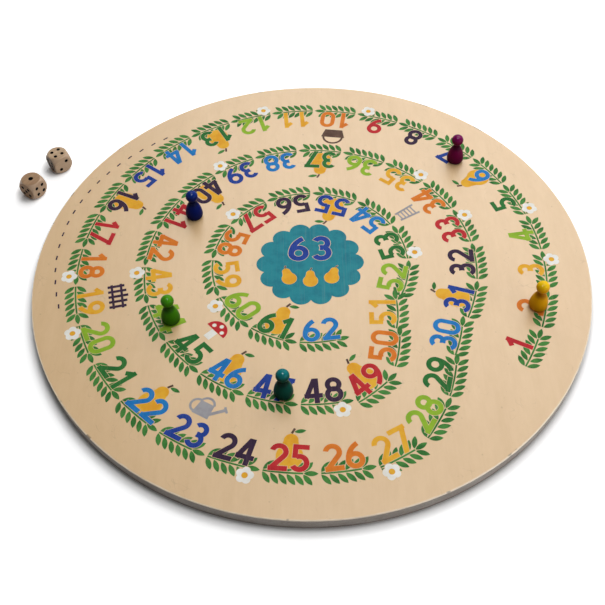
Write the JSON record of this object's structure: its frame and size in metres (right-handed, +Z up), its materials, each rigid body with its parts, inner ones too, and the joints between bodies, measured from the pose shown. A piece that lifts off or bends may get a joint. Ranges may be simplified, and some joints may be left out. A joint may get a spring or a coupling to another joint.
{
  "type": "race game board",
  "caption": "Round veneered race game board with a spiral track of numbered spaces, turned wooden pawns standing on it and rounded wooden dice beside it.",
  "frame": {"origin": "middle of the board's underside, on the surface that the board and the dice lie on", "axes": "+Z up through the board; +X to the right and -Y towards the players as the picture shows the set"},
  "size_m": [0.4284, 0.4, 0.0353],
  "materials": {
    "fibreboard": "raw medium-density fibreboard edge, stained grey",
    "face_veneer": "fine straight grain under matt clear lacquer",
    "back_veneer": "fine straight grain, sanded",
    "leaf_ink": "matt screen-printed ink film",
    "crimson_ink": "matt screen-printed ink film",
    "orange_ink": "matt screen-printed ink film",
    "amber_ink": "matt screen-printed ink film",
    "lime_ink": "matt screen-printed ink film",
    "green_ink": "matt screen-printed ink film",
    "sky_ink": "matt screen-printed ink film",
    "blue_ink": "matt screen-printed ink film",
    "plum_ink": "matt screen-printed ink film",
    "teal_ink": "matt screen-printed ink film",
    "white_ink": "matt screen-printed ink film",
    "brown_ink": "matt screen-printed ink film",
    "grey_ink": "matt screen-printed ink film",
    "purple_lacquer": "turned wood under gloss coloured lacquer",
    "blue_lacquer": "turned wood under gloss coloured lacquer",
    "green_lacquer": "turned wood under gloss coloured lacquer",
    "teal_lacquer": "turned wood under gloss coloured lacquer",
    "yellow_lacquer": "turned wood under gloss coloured lacquer",
    "die_wood": "tumbled hardwood, oiled",
    "pip_paint": "black paint in drilled dimples"
  },
  "bodies": {
    "board": {"core_panel": "fibreboard", "face_veneer": "face_veneer", "back_veneer": "back_veneer", "leaf_ink": "leaf_ink", "crimson_ink": "crimson_ink", "orange_ink": "orange_ink", "amber_ink": "amber_ink", "lime_ink": "lime_ink", "green_ink": "green_ink", "sky_ink": "sky_ink", "blue_ink": "blue_ink", "plum_ink": "plum_ink", "teal_ink": "teal_ink", "white_ink": "white_ink", "brown_ink": "brown_ink", "grey_ink": "grey_ink"},
    "purple_pawn": {"purple_pawn": "purple_lacquer"},
    "blue_pawn": {"blue_pawn": "blue_lacquer"},
    "green_pawn": {"green_pawn": "green_lacquer"},
    "teal_pawn": {"teal_pawn": "teal_lacquer"},
    "yellow_pawn": {"yellow_pawn": "yellow_lacquer"},
    "near_die": {"near_die": "die_wood", "near_die_pips": "pip_paint"},
    "far_die": {"far_die": "die_wood", "far_die_pips": "pip_paint"}
  },
  "joints": [
    {"name": "purple_pawn_lift", "type": "slide", "parent": "board", "child": "purple_pawn", "axis": [0, 0, 1], "range_m": [0, 0.06]},
    {"name": "blue_pawn_lift", "type": "slide", "parent": "board", "child": "blue_pawn", "axis": [0, 0, 1], "range_m": [0, 0.06]},
    {"name": "green_pawn_lift", "type": "slide", "parent": "board", "child": "green_pawn", "axis": [0, 0, 1], "range_m": [0, 0.06]},
    {"name": "teal_pawn_lift", "type": "slide", "parent": "board", "child": "teal_pawn", "axis": [0, 0, 1], "range_m": [0, 0.06]},
    {"name": "yellow_pawn_lift", "type": "slide", "parent": "board", "child": "yellow_pawn", "axis": [0, 0, 1], "range_m": [0, 0.06]},
    {"name": "near_die_lift", "type": "slide", "parent": "board", "child": "near_die", "axis": [0, 0, 1], "range_m": [0, 0.06]},
    {"name": "far_die_lift", "type": "slide", "parent": "board", "child": "far_die", "axis": [0, 0, 1], "range_m": [0, 0.06]}
  ]
}
